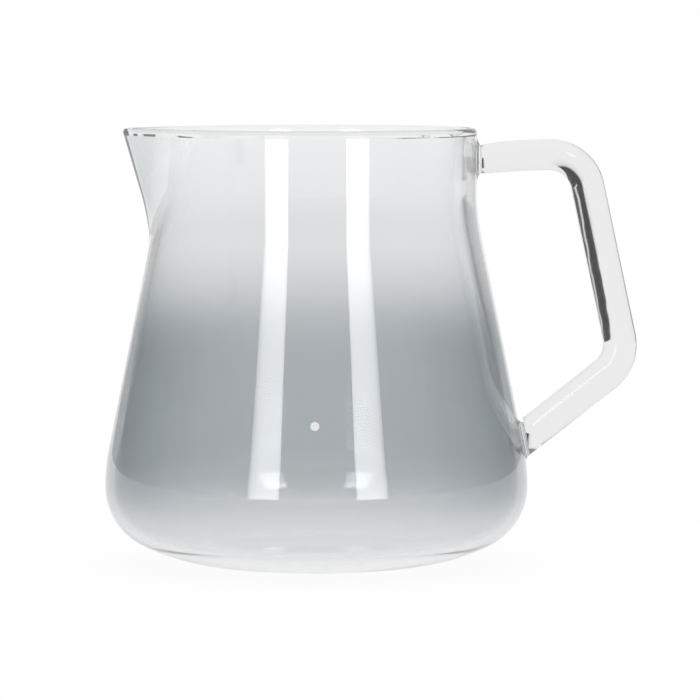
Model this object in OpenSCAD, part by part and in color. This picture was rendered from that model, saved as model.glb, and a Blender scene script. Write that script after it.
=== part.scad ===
// Glass coffee server: a blown jug with a pinched spout, and a bent glass rod as its handle.
// Millimetres, +Z up. The origin is the centre of the foot, the spout points to -X and the handle to +X.

/* [Jug] */
// Height from the foot to the rim
jug_h = 106; // [96:0.5:124]
// Outer diameter of the neck
neck_d = 78.2; // [70:0.2:86]
// Height of the neck, from the rim down to the waist
neck_h = 20.6; // [16:0.2:30]
// Outer diameter of the belly where it is widest
belly_d = 103.2; // [96:0.2:116]
// Height of the widest place of the belly
belly_z = 18.8; // [17:0.1:26]
// Radius of the belly's curve above its widest place
belly_bend_r = 46; // [20:1:60]
// Radius of the heel, where the belly turns in to the bottom
heel_r = 15.6; // [10:0.1:16]
// Radius of the bend from the cone into the neck
waist_r = 57; // [20:1:80]
// Diameter of the flat foot
foot_d = 45; // [30:1:60]

/* [Glass] */
// Thickness of the wall and the floor
wall = 2.3; // [1.6:0.1:3]

/* [Spout] */
// Distance from the jug's axis to the tip of the spout
spout_reach = 47.2; // [44:0.2:54]
// Depth of the spout, from the rim down to its root
spout_depth = 24.6; // [16:0.2:32]
// Radius of the spout's outside at its tip
spout_tip_r = 2.5; // [2.2:0.1:4]
// Thickness of the glass in the spout
spout_wall = 1.9; // [1.3:0.1:2]
// How far the spout's sides stand proud of the neck where they leave it
flare_out = 0.3; // [0.2:0.1:0.6]
// Height of the straight edge at the spout's tip
spout_lip_h = 1.2; // [0.8:0.1:2]

/* [Handle] */
// Diameter of the glass rod
rod_d = 8; // [6:0.2:9]
// Depth of the upper arm's axis below the rim, at the neck
upper_arm_drop = 7.2; // [6:0.2:9]
// How far the upper arm's axis rises from the neck to the upper corner
upper_arm_rise = 1.4; // [0:0.1:3]
// Distance of the upper corner from the neck
upper_corner_out = 25.1; // [20:0.2:32]
// Distance of the lower corner from the neck
lower_corner_out = 36; // [30:0.2:44]
// Height of the lower corner above the foot
lower_corner_z = 50; // [44:0.5:56]
// Height at which the lower arm's axis meets the wall
lower_arm_z = 30.4; // [29:0.2:33]
// Bend radius of the rod's axis at the upper corner
upper_bend_r = 8.6; // [6:0.2:11]
// Bend radius of the rod's axis at the lower corner
lower_bend_r = 6.8; // [5:0.2:10]

/* [Welds] */
// Diameter of each weld's foot on the wall
weld_d = 10.2; // [9.6:0.1:12]
// Thickness of a weld, from the wall to the end of the rod
weld_t = 1.1; // [0.6:0.1:2]

/* [Fill mark] */
// Diameter of the enamel dot
mark_d = 2.1; // [1.4:0.1:4]
// Height of the dot's centre
mark_z = 37.6; // [34:0.2:60]
// Thickness of the enamel
mark_t = 0.12; // [0.05:0.01:0.3]

/* [Hidden] */

// Overrun of every cut past the surface that it opens
over = 1;
// How deep a piece that sits on the wall reaches in before the wall's own form is cut away from it
seat_depth = 1.5;
// Edge taken off the top of the spout's lip
lip_chamfer = 0.5;
// Fineness of the faceted spout, and steps in each arc of the jug's outline
peg_fn = 32;
arc_steps = 9;
// Sides of the rod's skin, and steps round each of its bends
rod_fn = 32;
rod_steps = 9;

neck_r = neck_d / 2;
belly_r = belly_d / 2;
foot_r = foot_d / 2;
rod_r = rod_d / 2;
lip_r = wall / 2;
waist_z = jug_h - neck_h;
spout_root_z = jug_h - spout_depth;

// The spout's sides touch both its tip and the neck, at this angle from the spout's middle
spout_a = acos((neck_r + flare_out - spout_tip_r) / (spout_reach - spout_tip_r));

// The cone is the line through the waist that touches the belly's curve. Its angle is from the vertical.
belly_in = belly_r - belly_bend_r - neck_r;
belly_down = waist_z - belly_z;
cone_a = atan2(belly_in, belly_down) + asin(belly_bend_r / norm([belly_in, belly_down]));
waist_bend_z = waist_z + waist_r * tan(cone_a / 2);

// The bottom's arc touches the foot's plane at the foot's edge, and the heel's arc
heel_in = belly_r - heel_r - foot_r;
bottom_r = (heel_in ^ 2 + belly_z ^ 2 - heel_r ^ 2) / (2 * (belly_z - heel_r));
heel_a = atan2(bottom_r - belly_z, heel_in);

// The rod's corners and ends, as [x, z]
upper_corner = [neck_r + upper_corner_out, jug_h - upper_arm_drop + upper_arm_rise];
lower_corner = [neck_r + lower_corner_out, lower_corner_z];
upper_end = [neck_r, jug_h - upper_arm_drop];
lower_end = [cone_r(lower_arm_z), lower_arm_z];

// Outer radius of the cone at height z
function cone_r(z) = neck_r + (waist_z - z) * tan(cone_a);

// Points on an arc about c, from angle a0 to angle a1
function arc(c, r, a0, a1) =
    [for (i = [0:arc_steps]) let (a = a0 + (a1 - a0) * i / arc_steps) c + r * [cos(a), sin(a)]];

// Direction angle from p to q, from +X towards +Z
function heading(p, q) = atan2(q[1] - p[1], q[0] - p[0]);

// The jug's outline from the middle of the foot to the top of the waist, drawn in by inset
function outline(inset) = concat(
    [[0, inset]],
    arc([foot_r, bottom_r], bottom_r - inset, -90, -heel_a),
    arc([belly_r - heel_r, belly_z], heel_r - inset, -heel_a, 0),
    arc([belly_r - belly_bend_r, belly_z], belly_bend_r - inset, 0, cone_a),
    arc([neck_r + waist_r, waist_bend_z], waist_r + inset, 180 + cone_a, 180)
);

module outer_form() {
    lip = [neck_r - lip_r, jug_h - lip_r];
    rotate_extrude($fn = 144)
        polygon(concat(
            outline(0),
            arc(lip, lip_r, 0, 90),
            [[0, jug_h]]
        ));
}

module inner_form() {
    lip = [neck_r - lip_r, jug_h - lip_r];
    rotate_extrude($fn = 144)
        polygon(concat(
            outline(wall),
            arc(lip, lip_r, 180, 90),
            [[neck_r - lip_r, jug_h + over], [0, jug_h + over]]
        ));
}

// One upright peg of the spout's form, with its top edge taken off by chamfer
module peg(place, bottom, top, r, chamfer) {
    translate([place[0], place[1], bottom])
        cylinder(r = r, h = top - bottom - chamfer, $fn = peg_fn);
    translate([place[0], place[1], top - chamfer])
        cylinder(r1 = r, r2 = r - chamfer, h = chamfer, $fn = peg_fn);
}

// The spout's form, drawn in by inset: flat sides from the neck to its rounded edge, narrower down to its root
module spout_form(inset, top, chamfer) {
    r = spout_tip_r - inset;
    lip_z = jug_h - spout_lip_h;
    tip_x = -(spout_reach - spout_tip_r);
    flare_r = neck_r + flare_out - spout_tip_r;
    root_x = -(cone_r(spout_root_z) - spout_tip_r);
    hull() {
        peg([tip_x, 0], lip_z, top, r, chamfer);
        for (side = [-1, 1])
            peg(flare_r * [-cos(spout_a), side * sin(spout_a)], lip_z, top, r, chamfer);
        peg([root_x, 0], spout_root_z, spout_root_z + spout_lip_h, r, 0);
    }
}

module vessel() {
    color([0.72, 0.75, 0.77], 0.6)
    difference() {
        union() {
            outer_form();
            spout_form(0, jug_h, lip_chamfer);
        }
        inner_form();
        spout_form(spout_wall, jug_h + over, 0);
    }
}

// Puts its children on the cone's outside at height z, in the plane y = 0, with +Z along the wall's normal
module on_cone(z) {
    translate([cone_r(z), 0, z])
        rotate([0, 90 - cone_a, 0])
            children();
}

// The same on the neck
module on_neck(z) {
    translate([neck_r, 0, z])
        rotate([0, 90, 0])
            children();
}

module weld_form() {
    translate([0, 0, -seat_depth])
        cylinder(d = weld_d, h = seat_depth, $fn = 64);
    cylinder(d1 = weld_d, d2 = weld_d - weld_t, h = weld_t, $fn = 64);
}

module upper_weld() {
    color([0.88, 0.90, 0.91], 0.7)
    difference() {
        on_neck(upper_end[1]) weld_form();
        outer_form();
    }
}

module lower_weld() {
    color([0.88, 0.90, 0.91], 0.7)
    difference() {
        on_cone(lower_arm_z) weld_form();
        outer_form();
    }
}

// Stations of the rod's axis round a corner at p, from direction angle a to angle b, each as [x, z, angle]
function bend(p, a, b, r) =
    let (half = (b - a) / 2, middle = (a + b) / 2)
    let (centre = p + r / cos(half) * [sin(middle), -cos(middle)])
    [for (i = [0:rod_steps]) let (t = a + (b - a) * i / rod_steps) concat(centre + r * [-sin(t), cos(t)], t)];

// One ring of the rod's skin round a station
function ring(s) =
    [for (k = [0:rod_fn - 1]) let (t = k * 360 / rod_fn)
        [s[0] - rod_r * cos(t) * sin(s[2]), rod_r * sin(t), s[1] + rod_r * cos(t) * cos(s[2])]];

// The same ring, slid along the rod to the plane through p with normal n
function end_ring(s, p, n) =
    let (along = [cos(s[2]), 0, sin(s[2])])
    [for (q = ring(s)) q + along * ((p - q) * n) / (along * n)];

module handle() {
    upper_a = heading(upper_end, upper_corner);
    grip_a = heading(upper_corner, lower_corner);
    lower_a = heading(lower_corner, lower_end);
    upper_top = [upper_end[0] + weld_t, 0, upper_end[1]];
    cone_out = [cos(cone_a), 0, sin(cone_a)];
    lower_top = [lower_end[0], 0, lower_end[1]] + weld_t * cone_out;
    corners = concat(
        bend(upper_corner, upper_a, grip_a, upper_bend_r),
        bend(lower_corner, grip_a, lower_a, lower_bend_r)
    );
    rings = concat(
        [end_ring(corners[0], upper_top, [1, 0, 0])],
        [for (s = corners) ring(s)],
        [end_ring(corners[len(corners) - 1], lower_top, cone_out)]
    );
    last = len(rings) - 1;
    color([0.88, 0.90, 0.91], 0.7)
        polyhedron(
            points = [for (r = rings) each r],
            faces = concat(
                [[for (k = [0:rod_fn - 1]) k]],
                [for (i = [0:last - 1]) for (k = [0:rod_fn - 1])
                    let (j = (k + 1) % rod_fn)
                    [i * rod_fn + j, i * rod_fn + k, (i + 1) * rod_fn + k, (i + 1) * rod_fn + j]],
                [[for (k = [rod_fn - 1:-1:0]) last * rod_fn + k]]
            )
        );
}

module fill_mark() {
    color("white")
    rotate([0, 0, -90])
        on_cone(mark_z)
            cylinder(d = mark_d, h = mark_t, $fn = 48);
}

vessel();
handle();
upper_weld();
lower_weld();
fill_mark();
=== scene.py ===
"""Looks of the glass coffee server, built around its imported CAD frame.

Metres, +Z up, with the origin at the centre of the foot. The spout points to -X and the handle to +X.
The front, which the camera sees, is -Y.
"""
import math

import bmesh
import bpy
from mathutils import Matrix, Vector


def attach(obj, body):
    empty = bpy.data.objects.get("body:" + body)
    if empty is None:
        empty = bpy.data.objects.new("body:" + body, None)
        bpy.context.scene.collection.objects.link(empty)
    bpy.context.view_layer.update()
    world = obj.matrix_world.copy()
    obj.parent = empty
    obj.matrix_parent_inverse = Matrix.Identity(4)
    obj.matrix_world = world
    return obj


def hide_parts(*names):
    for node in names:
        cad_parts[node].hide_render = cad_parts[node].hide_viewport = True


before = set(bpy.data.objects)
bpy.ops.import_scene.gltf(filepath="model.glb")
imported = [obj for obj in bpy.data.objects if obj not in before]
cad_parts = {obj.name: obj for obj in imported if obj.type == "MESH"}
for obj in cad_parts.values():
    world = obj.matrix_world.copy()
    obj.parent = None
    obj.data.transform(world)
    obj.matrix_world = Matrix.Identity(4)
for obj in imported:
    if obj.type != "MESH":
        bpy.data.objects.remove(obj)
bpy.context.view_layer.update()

MM = 0.001

# Jug, outside: the same driving sizes as the CAD source
JUG_H = 106 * MM
NECK_R = 39.1 * MM
NECK_H = 20.6 * MM
BELLY_R = 51.6 * MM
BELLY_Z = 18.8 * MM
BELLY_BEND_R = 46 * MM
HEEL_R = 15.6 * MM
WAIST_R = 57 * MM
FOOT_R = 22.5 * MM

# Glass
WALL = 2.3 * MM
GLASS_IOR = 1.47
# The fire-polished rim bends the light less, which keeps its two lines pale
RIM_IOR = 1.12
RIM_COLOUR = (0.88, 0.885, 0.885)

# Spout: its reach past the neck, its root, the radius of its outer edge and its wall
SPOUT_PUSH = 8.1 * MM
SPOUT_ROOT_Z = 78.6 * MM
SPOUT_TIP_R = 2.5 * MM
SPOUT_WALL = 1.9 * MM
# How softly it leaves the neck at its sides and at its root, and how far below the root the wall is plain
SPOUT_BLEND = 0.15
SPOUT_ROOT_BLEND = 0.05
SPOUT_START = -0.3
# The power by which its edge runs from the root to the tip, where 1 is a straight line
SPOUT_RISE = 0.96

# Handle rod: radii along it, from the neck to the cone
NECK_END_R = 3.45 * MM
UPPER_ARM_R = 3.76 * MM
GRIP_R = 4.1 * MM
LOWER_ARM_R = 4.25 * MM
CONE_END_R = 4.12 * MM
# How far the upper arm arches above its straight line
UPPER_ARM_ARCH = 0.24 * MM
# How quickly the upper arm swells from its weld
UPPER_ARM_SWELL = 6
# Where its axis meets the neck and the cone, its two corners as (x, z), and the radii of its bends
UPPER_ARM_Z = 98.4 * MM
UPPER_CORNER = (64.3 * MM, 100.0 * MM)
LOWER_CORNER = (75.05 * MM, 49.5 * MM)
LOWER_ARM_Z = 29.95 * MM
UPPER_BEND_R = 9.4 * MM
LOWER_BEND_R = 9.3 * MM

# Welds: the radius of their feet, their thickness, and the fine gap that keeps their faces off the glass
WELD_R = 5.1 * MM
WELD_T = 1.1 * MM
WELD_GAP = 0.03 * MM

# Fill mark: its radius, height and thickness, its gap to the glass, and the share of it that is rounded
MARK_R = 1.05 * MM
MARK_Z = 37.4 * MM
MARK_T = 0.11 * MM
MARK_SEAT = 0.01 * MM
MARK_EDGE = 0.04

# Sides of the jug, and how evenly they lie, where 1 is even and less crowds them at the spout
RING_SIDES = 384
RING_EVENNESS = 0.35
# Rows in each arc, on the foot, the cone and the neck, and round the lip
ARC_ROWS = 22
FOOT_ROWS = 6
CONE_ROWS = 24
NECK_ROWS = 20
LIP_ROWS = 14
# Sides of the rod, and steps round its bends and along its parts
ROD_SIDES = 96
ROD_BEND_STEPS = 40
UPPER_ARM_STEPS = 24
GRIP_STEPS = 12
LOWER_ARM_STEPS = 10
# Shares of the radius at which the flat ends of rod, welds and dot have rings
ROD_END_SHARES = (0.5, 0.9, 0.985)
WELD_FOOT_SHARES = (0.3, 0.6, 0.85, 0.96, 1)
WELD_END_SHARES = (0.97, 0.7, 0.35)
WELD_STEPS = 8
MARK_BACK_SHARES = (0.5, 0.95)
MARK_FRONT_SHARE = 0.5
MARK_SIDES = 64
MARK_EDGE_STEPS = 6

# Camera: where the photograph was taken from
CAMERA_PLACE = (8.2 * MM, -1098 * MM, 129.6 * MM)
CAMERA_PITCH = math.radians(4.05)
CAMERA_LENS = 232
CAMERA_SENSOR = 36
CAMERA_SEES = 20

# Floor: half its side, how far it lies under the foot, its finish, and the share and strength of its white
FLOOR_HALF = 2.4
FLOOR_DROP = 0.3 * MM
FLOOR_COLOUR = (0.93, 0.93, 0.93, 1)
FLOOR_ROUGHNESS = 0.9
FLOOR_WHITE_SHARE = 0.93
FLOOR_WHITE = 1.01

# Which looks see a studio card, as (fewest, most) reflections or glass surfaces that they have met
ANY = (0, 99)
NONE_YET = (0, 0)
ONE_OR_MORE = (1, 99)
THREE_OR_MORE = (3, 99)
# Degrees of a curved card to each of its faces
CARD_STEP = 3

# Studio walls for reflections on the outside of the glass, and deep walls for those from inside it.
# Their tones are (degrees from straight behind, tone).
WALL_DISTANCE = 1.5
WALL_LOW = 0
WALL_TONES = ((19, 1.0), (24, 0.45), (40, 0.27), (60, 0.33), (80, 0.5), (110, 0.6), (140, 0.45), (180, 0.4))
DEEP_WALL_DISTANCE = 1.515
DEEP_WALL_LOW = 0.07
DEEP_WALL_TONES = ((19, 1.0), (24, 0.8), (40, 0.65), (60, 0.9), (75, 1), (110, 1), (140, 0.5), (180, 0.4))
WALL_TOP = 2.0

# The dark doorway behind on the right, which shows in the clear rod: elevations in degrees, and its tones
DOOR_DISTANCE = 1.45
DOOR_LOW = 1.8
DOOR_HIGH = 30
DOOR_TONES = ((7, 1), (11, 0.93), (15, 0.8), (18, 0.08), (64, 0.08))

# A paler thing in the doorway, which draws the light line in the grip's dark stripe: degrees from straight
# behind, and elevations in degrees as seen from a height
PATCH_DISTANCE = 1.3
PATCH_SIDES = (30, 60)
PATCH_ELEVATIONS = (4, 5.25)
PATCH_SEEN_FROM = 0.07
PATCH_TONE = 0.85

# A flag beside the grip: where it stands, its reach and its tone
FLAG_X = 0.067
FLAG_DISTANCE = 0.06
FLAG_SIDES = (10, 45)
FLAG_HEIGHTS = (0.02, 0.13)
FLAG_TONE = 0.45

# The two strip lights beside the camera: degrees from the camera, half their width, and the shares of their
# full tone from the outer edge to the inner
STRIP_LEFT = -26.9
STRIP_RIGHT = 29.1
STRIP_HALF = 8.2
STRIP_SHARES = ((0, 0.4), (0.12, 0.8), (0.3, 0.97), (0.4, 1), (0.9, 1), (1, 0.7))
STRIP_TOP = 0.6
STRIP_DISTANCE = 0.6
STRIP_TONE = 10
# The same lights for looks that come back from the jug's far wall
STRIP_DEEP_DISTANCE = 0.612
STRIP_DEEP_LOW = 0.1
STRIP_DEEP_TONE = 7.7

# Clear rod: its colour, how much it blurs what it shows, and how strongly it mirrors
ROD_COLOUR = (0.84, 0.84, 0.84)
ROD_ROUGHNESS = 0.08
ROD_SHINE = 0.3

# Smoke coat on the jug: the light that a crossing at full strength lets through, and its strength by height
SMOKE = (0.628, 0.651, 0.667)
COAT_SHARES = (
    (0.0, 0.08),
    (0.04, 0.22),
    (0.072, 0.34),
    (0.105, 0.46),
    (0.14, 0.63),
    (0.175, 0.87),
    (0.21, 0.99),
    (0.25, 1.0),
    (0.48, 0.97),
    (0.53, 0.92),
    (0.575, 0.75),
    (0.62, 0.53),
    (0.665, 0.41),
    (0.71, 0.32),
    (0.78, 0.255),
    (0.85, 0.26),
    (1.0, 0.12),
)
# How much more of it slanting looks cross, and the steps of its tint
SLANT_SHARE = 2.0
TINT_STEPS = 16
# The share of it on the spout, and how far out from the neck and up from the root that share comes in
SPOUT_COAT = 0.22
SPOUT_COAT_OUT = 2 * MM
SPOUT_COAT_UP = 8 * MM

# Painted light: the faint glow given to looks trapped in the glass, and the reflections that they have met
# by then
TRAPPED_PAINTED_GLOW = 0.12
LAST_REFLECTION = 4

# Unevenness of the glass: waves to the metre, strength, how dense they are along x, y and z, and depth
JUG_WAVES = 45
JUG_WAVE_STRENGTH = 0.25
JUG_WAVE_STRETCH = (1, 1, 0.4)
ROD_WAVES = 130
ROD_WAVE_STRENGTH = 1.0
ROD_WAVE_STRETCH = (1, 1, 1)
WAVE_DEPTH = 0.1 * MM

# Enamel: its two tones, how fine its mottling is, its roughness, and the painted glow of its back, which
# stands for the light that reaches it through the wall
ENAMEL_TONES = ((0.77, 0.77, 0.76, 1), (0.85, 0.85, 0.84, 1))
ENAMEL_GRAIN = 3000
ENAMEL_ROUGHNESS = 0.35
ENAMEL_BACK_PAINTED_GLOW = 0.7

LIP_R = WALL / 2
WAIST_Z = JUG_H - NECK_H


def cone_angle():
    """Angle from the vertical of the line through the waist that touches the belly's curve."""
    belly_in = BELLY_R - BELLY_BEND_R - NECK_R
    belly_down = WAIST_Z - BELLY_Z
    return math.atan2(belly_in, belly_down) + math.asin(BELLY_BEND_R / math.hypot(belly_in, belly_down))


CONE_A = cone_angle()
WAIST_BEND_Z = WAIST_Z + WAIST_R * math.tan(CONE_A / 2)


def arc(centre, radius, start, end):
    """Points (r, z) on an arc of the jug's outline."""
    angles = [start + (end - start) * i / ARC_ROWS for i in range(ARC_ROWS + 1)]
    return [(centre[0] + radius * math.cos(a), centre[1] + radius * math.sin(a)) for a in angles]


def line(start, end, rows):
    """Points between two ends, without the ends."""
    shares = [i / rows for i in range(1, rows)]
    return [tuple(a + (b - a) * s for a, b in zip(start, end)) for s in shares]


def profile(inset):
    """The jug's outline from the foot's middle to the lip, drawn in by inset."""
    heel_in = BELLY_R - HEEL_R - FOOT_R
    bottom_r = (heel_in ** 2 + BELLY_Z ** 2 - HEEL_R ** 2) / (2 * (BELLY_Z - HEEL_R))
    heel_a = math.atan2(bottom_r - BELLY_Z, heel_in)
    foot = line((0, inset), (FOOT_R, inset), FOOT_ROWS)
    bottom = arc((FOOT_R, bottom_r), bottom_r - inset, -math.pi / 2, -heel_a)
    heel = arc((BELLY_R - HEEL_R, BELLY_Z), HEEL_R - inset, -heel_a, 0)
    belly = arc((BELLY_R - BELLY_BEND_R, BELLY_Z), BELLY_BEND_R - inset, 0, CONE_A)
    waist = arc((NECK_R + WAIST_R, WAIST_BEND_Z), WAIST_R + inset, math.pi + CONE_A, math.pi)
    cone = line(belly[-1], waist[0], CONE_ROWS)
    neck = line(waist[-1], (NECK_R - inset, JUG_H - LIP_R), NECK_ROWS)
    return foot + bottom + heel[1:] + belly[1:] + cone + waist + neck


def spout_push(phi, z):
    """How far the spout pushes the wall outwards at angle phi from the spout and height z.

    At each height its two sides are straight lines, from the neck's circle to a rounded edge.
    """
    share = (z - SPOUT_ROOT_Z) / (JUG_H - SPOUT_ROOT_Z)
    if share < SPOUT_START:
        return 0.0
    reach = SPOUT_PUSH * ((share + math.hypot(share, SPOUT_ROOT_BLEND)) / 2) ** SPOUT_RISE
    spread = math.acos(NECK_R / (NECK_R + reach))
    tip = NECK_R + SPOUT_PUSH
    rounding = math.tan(math.acos(NECK_R / tip)) / (tip / SPOUT_TIP_R - 1)
    before = spread + rounding - math.hypot(phi, rounding)
    turn = (before + math.hypot(before, SPOUT_BLEND * spread)) / 2
    return NECK_R * (1 / math.cos(turn) - 1)


def outer_radius(r, z, phi):
    """Outside of the wall, pushed out by the spout."""
    return r + spout_push(phi, z)


def inner_radius(r, z, phi):
    """Inside of the wall: the outside less the wall, measured square to the slanted sides of the spout."""
    no_push = 1e-7
    push = spout_push(phi, z)
    if push < no_push:
        return r
    step = 0.001
    outside = r + WALL + push
    slope = (spout_push(phi + step, z) - spout_push(phi - step, z)) / (2 * step * outside)
    # the wall is as thin as the spout's from half of its reach on
    wall = WALL + (SPOUT_WALL - WALL) * min(1, 2 * push / SPOUT_PUSH)
    return outside - wall * math.sqrt(1 + slope * slope)


def wall_radius(z):
    """Outer radius of the plain wall at height z, on the neck or the cone."""
    if z >= WAIST_BEND_Z:
        return NECK_R
    return NECK_R + (WAIST_Z - z) * math.tan(CONE_A)


def ring_angles():
    """Angles from the spout round the jug, closer together at the spout."""
    shares = [-1 + 2 * j / RING_SIDES for j in range(RING_SIDES)]
    return [math.pi * (RING_EVENNESS * u + (1 - RING_EVENNESS) * u ** 3) for u in shares]


def mesh_object(name, verts, faces, materials, indices=None):
    """A smooth mesh that rides on the root body, with its normals outwards."""
    mesh = bpy.data.meshes.new(name)
    mesh.from_pydata(verts, [], faces)
    for material in materials:
        mesh.materials.append(material)
    if indices:
        mesh.polygons.foreach_set("material_index", indices)
    work = bmesh.new()
    work.from_mesh(mesh)
    bmesh.ops.recalc_face_normals(work, faces=work.faces)
    work.to_mesh(mesh)
    work.free()
    mesh.shade_smooth()
    piece = bpy.data.objects.new(name, mesh)
    bpy.context.scene.collection.objects.link(piece)
    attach(piece, "root")
    return piece


def lathe(rings, caps):
    """Faces between closed rings of vertices, one after the other, with a point at each end."""
    sides = len(rings[0])
    verts = [caps[0]] + [v for ring in rings for v in ring] + [caps[1]]
    faces = []
    for j in range(sides):
        faces.append((0, 1 + (j + 1) % sides, 1 + j))
    for i in range(len(rings) - 1):
        a = 1 + i * sides
        b = a + sides
        for j in range(sides):
            k = (j + 1) % sides
            faces.append((a + j, a + k, b + k, b + j))
    last = 1 + (len(rings) - 1) * sides
    end = len(verts) - 1
    for j in range(sides):
        faces.append((last + j, last + (j + 1) % sides, end))
    return verts, faces


def middle_of(ring):
    """The middle of a ring of vertices."""
    return sum((Vector(v) for v in ring), Vector()) / len(ring)


def narrower(ring, share):
    """The ring, drawn in to a share of its size."""
    middle = middle_of(ring)
    return [tuple(middle + (Vector(v) - middle) * share) for v in ring]


def closed_lathe(rings):
    """A lathe over the rings. Narrower rings and a point close each end and keep it flat."""
    start = [narrower(rings[0], s) for s in ROD_END_SHARES]
    finish = [narrower(rings[-1], s) for s in reversed(ROD_END_SHARES)]
    return lathe(start + rings + finish, (tuple(middle_of(rings[0])), tuple(middle_of(rings[-1]))))


def make_vessel(outside, rim, inside):
    """The blown jug as one closed mesh: outside, rounded lip, inside."""
    phis = ring_angles()
    outer = profile(0)
    inner = list(reversed(profile(WALL)))
    lip_z = JUG_H - LIP_R
    rings = []
    for r, z in outer:
        rings.append([(outer_radius(r, z, p), z) for p in phis])
    for i in range(LIP_ROWS + 1):
        a = math.pi * i / LIP_ROWS
        ring = []
        for p in phis:
            out = outer_radius(NECK_R, lip_z, p)
            into = inner_radius(NECK_R - WALL, lip_z, p)
            ring.append(((out + into) / 2 + (out - into) / 2 * math.cos(a), lip_z + LIP_R * math.sin(a)))
        rings.append(ring)
    for r, z in inner:
        rings.append([(inner_radius(r, z, p), z) for p in phis])
    placed = [[(-r * math.cos(p), -r * math.sin(p), z) for (r, z), p in zip(ring, phis)] for ring in rings]
    verts, faces = lathe(placed, ((0, 0, 0), (0, 0, WALL)))
    outer_faces = len(outer) * RING_SIDES
    rim_faces = (LIP_ROWS + 1) * RING_SIDES
    inner_faces = len(faces) - outer_faces - rim_faces
    indices = [0] * outer_faces + [1] * rim_faces + [2] * inner_faces
    piece = mesh_object("vessel_glass", verts, faces, (outside, rim, inside), indices)
    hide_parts("vessel")


def rod_bend(corner, before, after, radius):
    """Stations (point, direction) round one bend of the rod's axis."""
    half = (after - before) / 2
    middle = (before + after) / 2
    reach = radius / math.cos(half)
    centre = (corner[0] + reach * math.sin(middle), corner[1] - reach * math.cos(middle))
    stations = []
    for i in range(ROD_BEND_STEPS + 1):
        a = before + (after - before) * i / ROD_BEND_STEPS
        stations.append(((centre[0] - radius * math.sin(a), centre[1] + radius * math.cos(a)), a))
    return stations


def heading(start, end):
    """Direction angle from one (x, z) point to another."""
    return math.atan2(end[1] - start[1], end[0] - start[0])


def rod_ring(place, angle, radius):
    """A circle of vertices square to the rod's axis."""
    ring = []
    for k in range(ROD_SIDES):
        t = 2 * math.pi * k / ROD_SIDES
        up = radius * math.cos(t)
        x = place[0] - up * math.sin(angle)
        z = place[1] + up * math.cos(angle)
        ring.append((x, radius * math.sin(t), z))
    return ring


def slid_ring(ring, angle, plane_point, plane_normal):
    """The ring, slid along the rod to a plane."""
    along = Vector((math.cos(angle), 0, math.sin(angle)))
    moved = []
    for q in ring:
        shift = (plane_point - Vector(q)).dot(plane_normal) / along.dot(plane_normal)
        moved.append(tuple(Vector(q) + along * shift))
    return moved


def upper_arm_rings(start, end, angle):
    """Rings along the upper arm, which swells quickly from its weld and arches slightly."""
    rings = []
    for i in range(UPPER_ARM_STEPS):
        share = i / UPPER_ARM_STEPS
        radius = UPPER_ARM_R - (UPPER_ARM_R - NECK_END_R) * (1 - share) ** UPPER_ARM_SWELL
        place = [a + (b - a) * share for a, b in zip(start, end)]
        place[1] += UPPER_ARM_ARCH * math.sin(math.pi * share)
        rings.append(rod_ring(place, angle, radius))
    return rings


def make_handle(material):
    """The bent glass rod, between the two welds."""
    upper_end = (NECK_R, UPPER_ARM_Z)
    lower_end = (wall_radius(LOWER_ARM_Z), LOWER_ARM_Z)
    upper_a = heading(upper_end, UPPER_CORNER)
    grip_a = heading(UPPER_CORNER, LOWER_CORNER)
    lower_a = heading(LOWER_CORNER, lower_end)
    upper_bend = rod_bend(UPPER_CORNER, upper_a, grip_a, UPPER_BEND_R)
    lower_bend = rod_bend(LOWER_CORNER, grip_a, lower_a, LOWER_BEND_R)
    neck_out = Vector((1, 0, 0))
    cone_out = Vector((math.cos(CONE_A), 0, math.sin(CONE_A)))
    off = WELD_T + WELD_GAP
    neck_face = Vector((upper_end[0], 0, upper_end[1])) + neck_out * off
    cone_face = Vector((lower_end[0], 0, lower_end[1])) + cone_out * off
    stations = [(p, a, UPPER_ARM_R + (GRIP_R - UPPER_ARM_R) * i / ROD_BEND_STEPS)
                for i, (p, a) in enumerate(upper_bend)]
    stations += [(p, grip_a, GRIP_R) for p in line(upper_bend[-1][0], lower_bend[0][0], GRIP_STEPS)]
    stations += [(p, a, GRIP_R + (LOWER_ARM_R - GRIP_R) * i / ROD_BEND_STEPS)
                 for i, (p, a) in enumerate(lower_bend)]
    rings = [rod_ring(p, a, r) for p, a, r in stations]
    upper_rings = upper_arm_rings((neck_face.x, neck_face.z), stations[0][0], upper_a)
    upper_rings[0] = slid_ring(upper_rings[0], upper_a, neck_face, neck_out)
    finish = slid_ring(rod_ring(stations[-1][0], lower_a, CONE_END_R), lower_a, cone_face, cone_out)
    lower_run = [line(a, b, LOWER_ARM_STEPS) for a, b in zip(rings[-1], finish)]
    rings = upper_rings + rings + [list(r) for r in zip(*lower_run)] + [finish]
    verts, faces = closed_lathe(rings)
    piece = mesh_object("handle_rod", verts, faces, (material,))
    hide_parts("handle")


def seat_ring(seat, radius, lift, follow, sides):
    """A ring over a seat on the round wall, which it follows by the share given."""
    base, up, across, out, wall_curve = seat
    points = []
    for k in range(sides):
        t = 2 * math.pi * k / sides
        side = radius * math.sin(t)
        sag = side * side / (2 * wall_curve) * follow
        points.append(tuple(base + up * radius * math.cos(t) + across * side + out * (lift - sag)))
    return points


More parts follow.
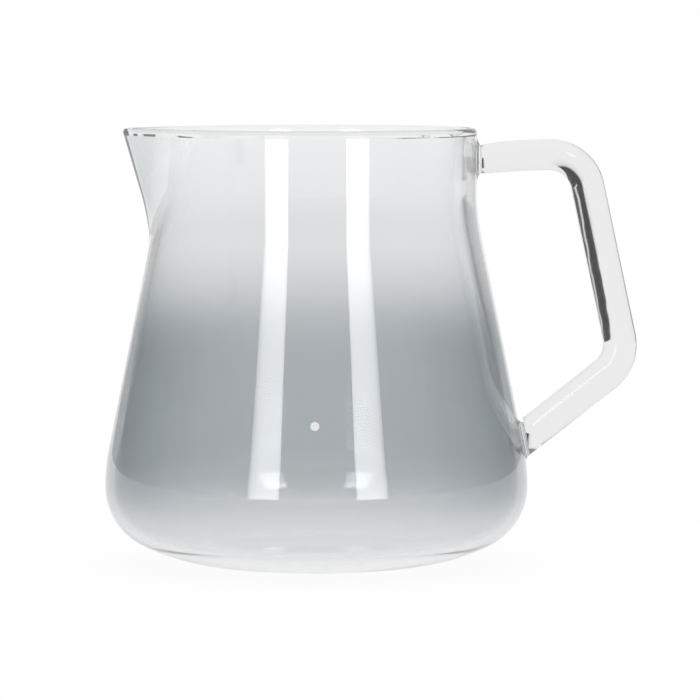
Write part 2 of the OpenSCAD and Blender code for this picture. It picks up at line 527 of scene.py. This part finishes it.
def make_weld(name, node, height, lean, rod_radius, material):
    """A fused pad on the wall. Its foot follows the round wall, and its side is a hollow fillet."""
    base = Vector((wall_radius(height), 0, height))
    out = Vector((math.cos(lean), 0, math.sin(lean)))
    up = Vector((-math.sin(lean), 0, math.cos(lean)))
    seat = (base, up, Vector((0, 1, 0)), out, wall_radius(height) / math.cos(lean))
    rings = [seat_ring(seat, WELD_R * s, WELD_GAP, 1, ROD_SIDES) for s in WELD_FOOT_SHARES]
    for i in range(1, WELD_STEPS + 1):
        share = i / WELD_STEPS
        narrow = 1 - (1 - share) ** 2
        radius = WELD_R + (rod_radius - WELD_R) * narrow
        rings.append(seat_ring(seat, radius, WELD_GAP + (WELD_T - WELD_GAP) * share, 1 - share, ROD_SIDES))
    rings += [seat_ring(seat, rod_radius * s, WELD_T, 0, ROD_SIDES) for s in WELD_END_SHARES]
    verts, faces = lathe(rings, (tuple(base + out * WELD_GAP), tuple(base + out * WELD_T)))
    piece = mesh_object(name, verts, faces, (material,))
    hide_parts(node)


def make_fill_mark(front, back):
    """The fired dot: a thin round cap that follows the cone's front."""
    base = Vector((0, -wall_radius(MARK_Z), MARK_Z))
    out = Vector((0, -math.cos(CONE_A), math.sin(CONE_A)))
    up = Vector((0, math.sin(CONE_A), math.cos(CONE_A)))
    seat = (base, up, Vector((1, 0, 0)), out, wall_radius(MARK_Z) / math.cos(CONE_A))
    rings = [seat_ring(seat, MARK_R * s, MARK_SEAT, 1, MARK_SIDES) for s in MARK_BACK_SHARES]
    for i in range(MARK_EDGE_STEPS + 1):
        a = math.pi / 2 * i / MARK_EDGE_STEPS
        radius = MARK_R * (1 - MARK_EDGE + MARK_EDGE * math.cos(a))
        lift = MARK_SEAT + (MARK_T - MARK_SEAT) * math.sin(a)
        rings.append(seat_ring(seat, radius, lift, 1, MARK_SIDES))
    rings.append(seat_ring(seat, MARK_R * MARK_FRONT_SHARE, MARK_T, 1, MARK_SIDES))
    verts, faces = lathe(rings, (tuple(base + out * MARK_SEAT), tuple(base + out * MARK_T)))
    back_faces = len(MARK_BACK_SHARES) * MARK_SIDES
    indices = [1] * back_faces + [0] * (len(faces) - back_faces)
    piece = mesh_object("fill_mark_dot", verts, faces, (front, back), indices)
    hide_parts("fill_mark")


def new_material(name):
    """A material with its node tree and its shader."""
    material = bpy.data.materials.new(name)
    material.use_nodes = True
    shader = material.node_tree.nodes["Principled BSDF"]
    return material, material.node_tree, shader


def fill_ramp(ramp, stops, interpolation):
    """Set a ramp's stops from (place, colour) pairs."""
    ramp.color_ramp.interpolation = interpolation
    elements = ramp.color_ramp.elements
    while len(elements) > 1:
        elements.remove(elements[-1])
    for i, (place, colour) in enumerate(stops):
        stop = elements[0] if i == 0 else elements.new(place)
        stop.position = place
        stop.color = (*colour, 1)


def add_math(tree, operation, first, second=None):
    """A math node on sockets or numbers."""
    node = tree.nodes.new("ShaderNodeMath")
    node.operation = operation
    for socket, value in zip(node.inputs, (first, second)):
        if isinstance(value, bpy.types.NodeSocket):
            tree.links.new(value, socket)
        elif value is not None:
            socket.default_value = value
    return node.outputs[0]


def add_waves(tree, shader, scale, strength, stretch):
    """Faint unevenness of blown or drawn glass."""
    place = tree.nodes.new("ShaderNodeTexCoord")
    mapping = tree.nodes.new("ShaderNodeMapping")
    mapping.inputs["Scale"].default_value = stretch
    noise = tree.nodes.new("ShaderNodeTexNoise")
    noise.inputs["Scale"].default_value = scale
    noise.inputs["Detail"].default_value = 1.0
    bump = tree.nodes.new("ShaderNodeBump")
    bump.inputs["Strength"].default_value = strength
    bump.inputs["Distance"].default_value = WAVE_DEPTH
    tree.links.new(place.outputs["Object"], mapping.inputs["Vector"])
    tree.links.new(mapping.outputs["Vector"], noise.inputs["Vector"])
    tree.links.new(noise.outputs["Fac"], bump.inputs["Height"])
    tree.links.new(bump.outputs["Normal"], shader.inputs["Normal"])


def glass(name, colour, ior, roughness):
    """Clear glass. Looks trapped in it meet a faint painted glow of the glass, because a render gives them
    up as black.
    """
    material, tree, shader = new_material(name)
    shader.inputs["Base Color"].default_value = (*colour, 1)
    shader.inputs["Roughness"].default_value = roughness
    shader.inputs["IOR"].default_value = ior
    shader.inputs["Transmission Weight"].default_value = 1
    # painted light: the glass glows faintly for looks that have met more than the last reflection
    path = tree.nodes.new("ShaderNodeLightPath")
    trapped = add_math(tree, "GREATER_THAN", path.outputs["Glossy Depth"], LAST_REFLECTION - 0.5)
    tree.links.new(add_math(tree, "MULTIPLY", trapped, TRAPPED_PAINTED_GLOW), shader.inputs["Emission Strength"])
    return material, tree, shader


def slant_in_glass(tree):
    """How much longer than its thickness a look's way through the wall is, as a share.

    That is 1 over the cosine of its slant in the glass, less 1.
    """
    weight = tree.nodes.new("ShaderNodeLayerWeight")
    side = tree.nodes.new("ShaderNodeNewGeometry")
    cosine = add_math(tree, "SUBTRACT", 1, weight.outputs["Facing"])
    sine_squared = add_math(tree, "SUBTRACT", 1, add_math(tree, "MULTIPLY", cosine, cosine))
    bent = 1 / GLASS_IOR ** 2
    share = add_math(tree, "ADD", bent, add_math(tree, "MULTIPLY", side.outputs["Backfacing"], 1 - bent))
    cosine_squared = add_math(tree, "SUBTRACT", 1, add_math(tree, "MULTIPLY", sine_squared, share))
    longer = add_math(tree, "DIVIDE", 1, add_math(tree, "SQRT", cosine_squared))
    return add_math(tree, "SUBTRACT", longer, 1)


def coat_on_spout(tree, place):
    """The share of the coat that lies on the spout, where it stands proud of the neck."""
    x = place.outputs["X"]
    y = place.outputs["Y"]
    square = add_math(tree, "ADD", add_math(tree, "MULTIPLY", x, x), add_math(tree, "MULTIPLY", y, y))
    outwards = add_math(tree, "SUBTRACT", add_math(tree, "SQRT", square), NECK_R)
    upwards = add_math(tree, "SUBTRACT", place.outputs["Z"], SPOUT_ROOT_Z)
    proud = add_math(tree, "DIVIDE", outwards, SPOUT_COAT_OUT)
    high = add_math(tree, "DIVIDE", upwards, SPOUT_COAT_UP)
    shares = [add_math(tree, "MINIMUM", add_math(tree, "MAXIMUM", s, 0), 1) for s in (proud, high)]
    return add_math(tree, "MULTIPLY", add_math(tree, "MULTIPLY", *shares), SPOUT_COAT)


def coated_glass(name, slant_share):
    """Glass with a smoke coat that fades out towards the rim and the heel.

    With a slant share the tint is only what slanting looks meet beyond the plain one.
    """
    material, tree, shader = glass(name, (1, 1, 1), GLASS_IOR, 0)
    place = tree.nodes.new("ShaderNodeTexCoord")
    split = tree.nodes.new("ShaderNodeSeparateXYZ")
    tree.links.new(place.outputs["Object"], split.inputs["Vector"])
    height = add_math(tree, "DIVIDE", split.outputs["Z"], JUG_H)
    strength = tree.nodes.new("ShaderNodeValToRGB")
    fill_ramp(strength, [(at, [share] * 3) for at, share in COAT_SHARES], "B_SPLINE")
    tree.links.new(height, strength.inputs["Fac"])
    depth = add_math(tree, "ADD", strength.outputs["Color"], coat_on_spout(tree, split))
    if slant_share:
        slant = add_math(tree, "MULTIPLY", slant_in_glass(tree), slant_share)
        depth = add_math(tree, "MULTIPLY", depth, add_math(tree, "MULTIPLY", slant, depth))
    tint = tree.nodes.new("ShaderNodeValToRGB")
    shares = [i / TINT_STEPS for i in range(TINT_STEPS + 1)]
    # the shader tints each crossing by the root of its colour
    fill_ramp(tint, [(share, [c ** (2 * share) for c in SMOKE]) for share in shares], "LINEAR")
    tree.links.new(depth, tint.inputs["Fac"])
    tree.links.new(tint.outputs["Color"], shader.inputs["Base Color"])
    add_waves(tree, shader, JUG_WAVES, JUG_WAVE_STRENGTH, JUG_WAVE_STRETCH)
    return material


def rim_glass():
    """The clear glass of the fire-polished rim."""
    material, tree, shader = glass("rim_glass", RIM_COLOUR, RIM_IOR, 0)
    add_waves(tree, shader, JUG_WAVES, JUG_WAVE_STRENGTH, JUG_WAVE_STRETCH)
    return material


def rod_glass():
    """The clear glass of the handle and its welds, with a soft shine."""
    material, tree, shader = glass("rod_glass", ROD_COLOUR, GLASS_IOR, ROD_ROUGHNESS)
    shader.inputs["Specular Tint"].default_value = (ROD_SHINE, ROD_SHINE, ROD_SHINE, 1)
    add_waves(tree, shader, ROD_WAVES, ROD_WAVE_STRENGTH, ROD_WAVE_STRETCH)
    return material


def enamel(name, painted_glow):
    """Fired white enamel, faintly mottled, which glows with a painted light that stands for the light
    reaching it through the wall.
    """
    material, tree, shader = new_material(name)
    noise = tree.nodes.new("ShaderNodeTexNoise")
    noise.inputs["Scale"].default_value = ENAMEL_GRAIN
    ramp = tree.nodes.new("ShaderNodeValToRGB")
    for stop, colour in zip(ramp.color_ramp.elements, ENAMEL_TONES):
        stop.color = colour
    tree.links.new(noise.outputs["Fac"], ramp.inputs["Fac"])
    tree.links.new(ramp.outputs["Color"], shader.inputs["Base Color"])
    shader.inputs["Roughness"].default_value = ENAMEL_ROUGHNESS
    # painted light: the enamel glows in its own colours
    shader.inputs["Emission Strength"].default_value = painted_glow
    tree.links.new(ramp.outputs["Color"], shader.inputs["Emission Color"])
    return material


def shows_background(tree):
    """1 for camera, glossy and transmission rays, 0 for the light that falls on surfaces."""
    path = tree.nodes.new("ShaderNodeLightPath")
    seen = add_math(tree, "MAXIMUM", path.outputs["Is Camera Ray"], path.outputs["Is Glossy Ray"])
    return add_math(tree, "MAXIMUM", seen, path.outputs["Is Transmission Ray"])


def make_world():
    """White light from all round."""
    world = bpy.data.worlds.new("studio")
    bpy.context.scene.world = world
    world.use_nodes = True
    back = world.node_tree.nodes["Background"]
    back.inputs["Color"].default_value = (1, 1, 1, 1)
    back.inputs["Strength"].default_value = 1


def make_floor():
    """A pale floor that keeps a soft share of the object's shadow."""
    sides = ((-1, -1), (1, -1), (1, 1), (-1, 1))
    corners = [(x * FLOOR_HALF, y * FLOOR_HALF, -FLOOR_DROP) for x, y in sides]
    mesh = bpy.data.meshes.new("floor")
    mesh.from_pydata(corners, [], [(0, 1, 2, 3)])
    floor = bpy.data.objects.new("floor", mesh)
    bpy.context.scene.collection.objects.link(floor)
    material, tree, shader = new_material("floor_white")
    shader.inputs["Base Color"].default_value = FLOOR_COLOUR
    shader.inputs["Roughness"].default_value = FLOOR_ROUGHNESS
    glow = tree.nodes.new("ShaderNodeEmission")
    glow.inputs["Strength"].default_value = FLOOR_WHITE
    mix = tree.nodes.new("ShaderNodeMixShader")
    share = add_math(tree, "MULTIPLY", shows_background(tree), FLOOR_WHITE_SHARE)
    tree.links.new(share, mix.inputs["Fac"])
    tree.links.new(shader.outputs[0], mix.inputs[1])
    tree.links.new(glow.outputs[0], mix.inputs[2])
    tree.links.new(mix.outputs[0], tree.nodes["Material Output"].inputs["Surface"])
    mesh.materials.append(material)


def degrees_from_behind(tree):
    """Azimuth of a point of the studio, in degrees from straight behind the object."""
    place = tree.nodes.new("ShaderNodeTexCoord")
    split = tree.nodes.new("ShaderNodeSeparateXYZ")
    tree.links.new(place.outputs["Object"], split.inputs["Vector"])
    angle = add_math(tree, "ARCTAN2", split.outputs["X"], split.outputs["Y"])
    return add_math(tree, "DEGREES", add_math(tree, "ABSOLUTE", angle))


def seen_by(tree, reflections, crossings):
    """1 for looks that have met so many reflections and so many glass surfaces, 0 for the others."""
    path = tree.nodes.new("ShaderNodeLightPath")
    shown = 1
    for depth, (least, most) in (("Glossy Depth", reflections), ("Transmission Depth", crossings)):
        enough = add_math(tree, "GREATER_THAN", path.outputs[depth], least - 0.5)
        few = add_math(tree, "LESS_THAN", path.outputs[depth], most + 0.5)
        shown = add_math(tree, "MULTIPLY", shown, add_math(tree, "MULTIPLY", enough, few))
    return shown


def card(name, sides, heights, distance, tones, peak, reflections, crossings):
    """A glowing curved card of the studio, between two azimuths from the camera's side and two heights.

    Its tones are (degrees from straight behind, share of the peak). Only looks that have met so many
    reflections and so many glass surfaces see it.
    """
    steps = max(2, round(abs(sides[1] - sides[0]) / CARD_STEP))
    verts = []
    for i in range(steps + 1):
        a = math.radians(sides[0] + (sides[1] - sides[0]) * i / steps)
        verts += [(distance * math.sin(a), -distance * math.cos(a), z) for z in heights]
    faces = [(2 * i, 2 * i + 2, 2 * i + 3, 2 * i + 1) for i in range(steps)]
    mesh = bpy.data.meshes.new(name)
    mesh.from_pydata(verts, [], faces)
    piece = bpy.data.objects.new(name, mesh)
    bpy.context.scene.collection.objects.link(piece)
    material = bpy.data.materials.new(name)
    material.use_nodes = True
    tree = material.node_tree
    tree.nodes.clear()
    first = tones[0][0]
    span = tones[-1][0] - first
    share = add_math(tree, "DIVIDE", add_math(tree, "SUBTRACT", degrees_from_behind(tree), first), span)
    ramp = tree.nodes.new("ShaderNodeValToRGB")
    fill_ramp(ramp, [((at - first) / span, [tone] * 3) for at, tone in tones], "LINEAR")
    tree.links.new(share, ramp.inputs["Fac"])
    glow = tree.nodes.new("ShaderNodeEmission")
    glow.inputs["Strength"].default_value = peak
    tree.links.new(ramp.outputs["Color"], glow.inputs["Color"])
    open_air = tree.nodes.new("ShaderNodeBsdfTransparent")
    mix = tree.nodes.new("ShaderNodeMixShader")
    out = tree.nodes.new("ShaderNodeOutputMaterial")
    tree.links.new(seen_by(tree, reflections, crossings), mix.inputs["Fac"])
    tree.links.new(open_air.outputs[0], mix.inputs[1])
    tree.links.new(glow.outputs[0], mix.inputs[2])
    tree.links.new(mix.outputs[0], out.inputs["Surface"])
    mesh.materials.append(material)
    piece.visible_camera = False
    piece.visible_diffuse = False
    piece.visible_shadow = False
    return piece


def make_walls():
    """Grey studio walls round the object, open behind it."""
    sides = (WALL_TONES[0][0] - 180, 180 - WALL_TONES[0][0])
    heights = (WALL_LOW, WALL_TOP)
    deep_heights = (DEEP_WALL_LOW, WALL_TOP)
    card("walls", sides, heights, WALL_DISTANCE, WALL_TONES, 1, ONE_OR_MORE, NONE_YET)
    card("walls_deep", sides, deep_heights, DEEP_WALL_DISTANCE, DEEP_WALL_TONES, 1,
         ONE_OR_MORE, ONE_OR_MORE)


def make_doorway():
    """A dark doorway behind the object, on the handle's side."""
    sides = (180 - DOOR_TONES[-1][0], 180 - DOOR_TONES[0][0])
    heights = [DOOR_DISTANCE * math.tan(math.radians(a)) for a in (DOOR_LOW, DOOR_HIGH)]
    doorway = card("doorway", sides, heights, DOOR_DISTANCE, DOOR_TONES, 1, NONE_YET, ANY)
    doorway.visible_glossy = False


def make_patch():
    """The paler thing that stands in the doorway."""
    sides = (180 - PATCH_SIDES[1], 180 - PATCH_SIDES[0])
    heights = [PATCH_DISTANCE * math.tan(math.radians(a)) + PATCH_SEEN_FROM for a in PATCH_ELEVATIONS]
    tones = [(side, 1) for side in PATCH_SIDES]
    patch = card("doorway_patch", sides, heights, PATCH_DISTANCE, tones, PATCH_TONE, NONE_YET, ANY)
    patch.visible_glossy = False


def make_flag():
    """A grey flag beside the grip that keeps the right strip light's reflection off it."""
    tones = ((90, 1), (180, 1))
    flag = card("flag", FLAG_SIDES, FLAG_HEIGHTS, FLAG_DISTANCE, tones, FLAG_TONE, ONE_OR_MORE, NONE_YET)
    flag.location = (FLAG_X, 0, 0)


def make_strip(name, azimuth):
    """A tall strip light beside the camera, with soft edges. Deep in the jug its foot is left out."""
    sides = (azimuth - STRIP_HALF, azimuth + STRIP_HALF)
    outer = 180 - abs(azimuth) - STRIP_HALF
    tones = [(outer + 2 * STRIP_HALF * share, tone) for share, tone in STRIP_SHARES]
    heights = (0, STRIP_TOP)
    deep_heights = (STRIP_DEEP_LOW, STRIP_TOP)
    card(name, sides, heights, STRIP_DISTANCE, tones, STRIP_TONE, ONE_OR_MORE, NONE_YET)
    card(name + "_deep", sides, deep_heights, STRIP_DEEP_DISTANCE, tones, STRIP_DEEP_TONE,
         ONE_OR_MORE, THREE_OR_MORE)


def make_camera():
    """The camera, where the photograph was taken from."""
    data = bpy.data.cameras.new("camera")
    data.lens = CAMERA_LENS
    data.sensor_width = CAMERA_SENSOR
    data.clip_end = CAMERA_SEES
    camera = bpy.data.objects.new("camera", data)
    bpy.context.scene.collection.objects.link(camera)
    camera.location = CAMERA_PLACE
    camera.rotation_euler = (math.pi / 2 - CAMERA_PITCH, 0, 0)
    bpy.context.scene.camera = camera


# The coat's plain tint lies on the outside, and what slanting looks meet beyond it on the inside
make_vessel(coated_glass("jug_outside", 0), rim_glass(), coated_glass("jug_inside", SLANT_SHARE))
clear_rod = rod_glass()
make_handle(clear_rod)
make_weld("upper_weld_pad", "upper_weld", UPPER_ARM_Z, 0, NECK_END_R, clear_rod)
make_weld("lower_weld_pad", "lower_weld", LOWER_ARM_Z, CONE_A, CONE_END_R, clear_rod)
# The dot's back glows: painted light for what reaches it through the glass
make_fill_mark(enamel("white_enamel", 0), enamel("white_enamel_back_painted_glow", ENAMEL_BACK_PAINTED_GLOW))
make_world()
make_floor()
make_walls()
make_doorway()
make_patch()
make_flag()
make_strip("strip_left", STRIP_LEFT)
make_strip("strip_right", STRIP_RIGHT)
make_camera()

bpy.context.scene.view_settings.view_transform = "Standard"
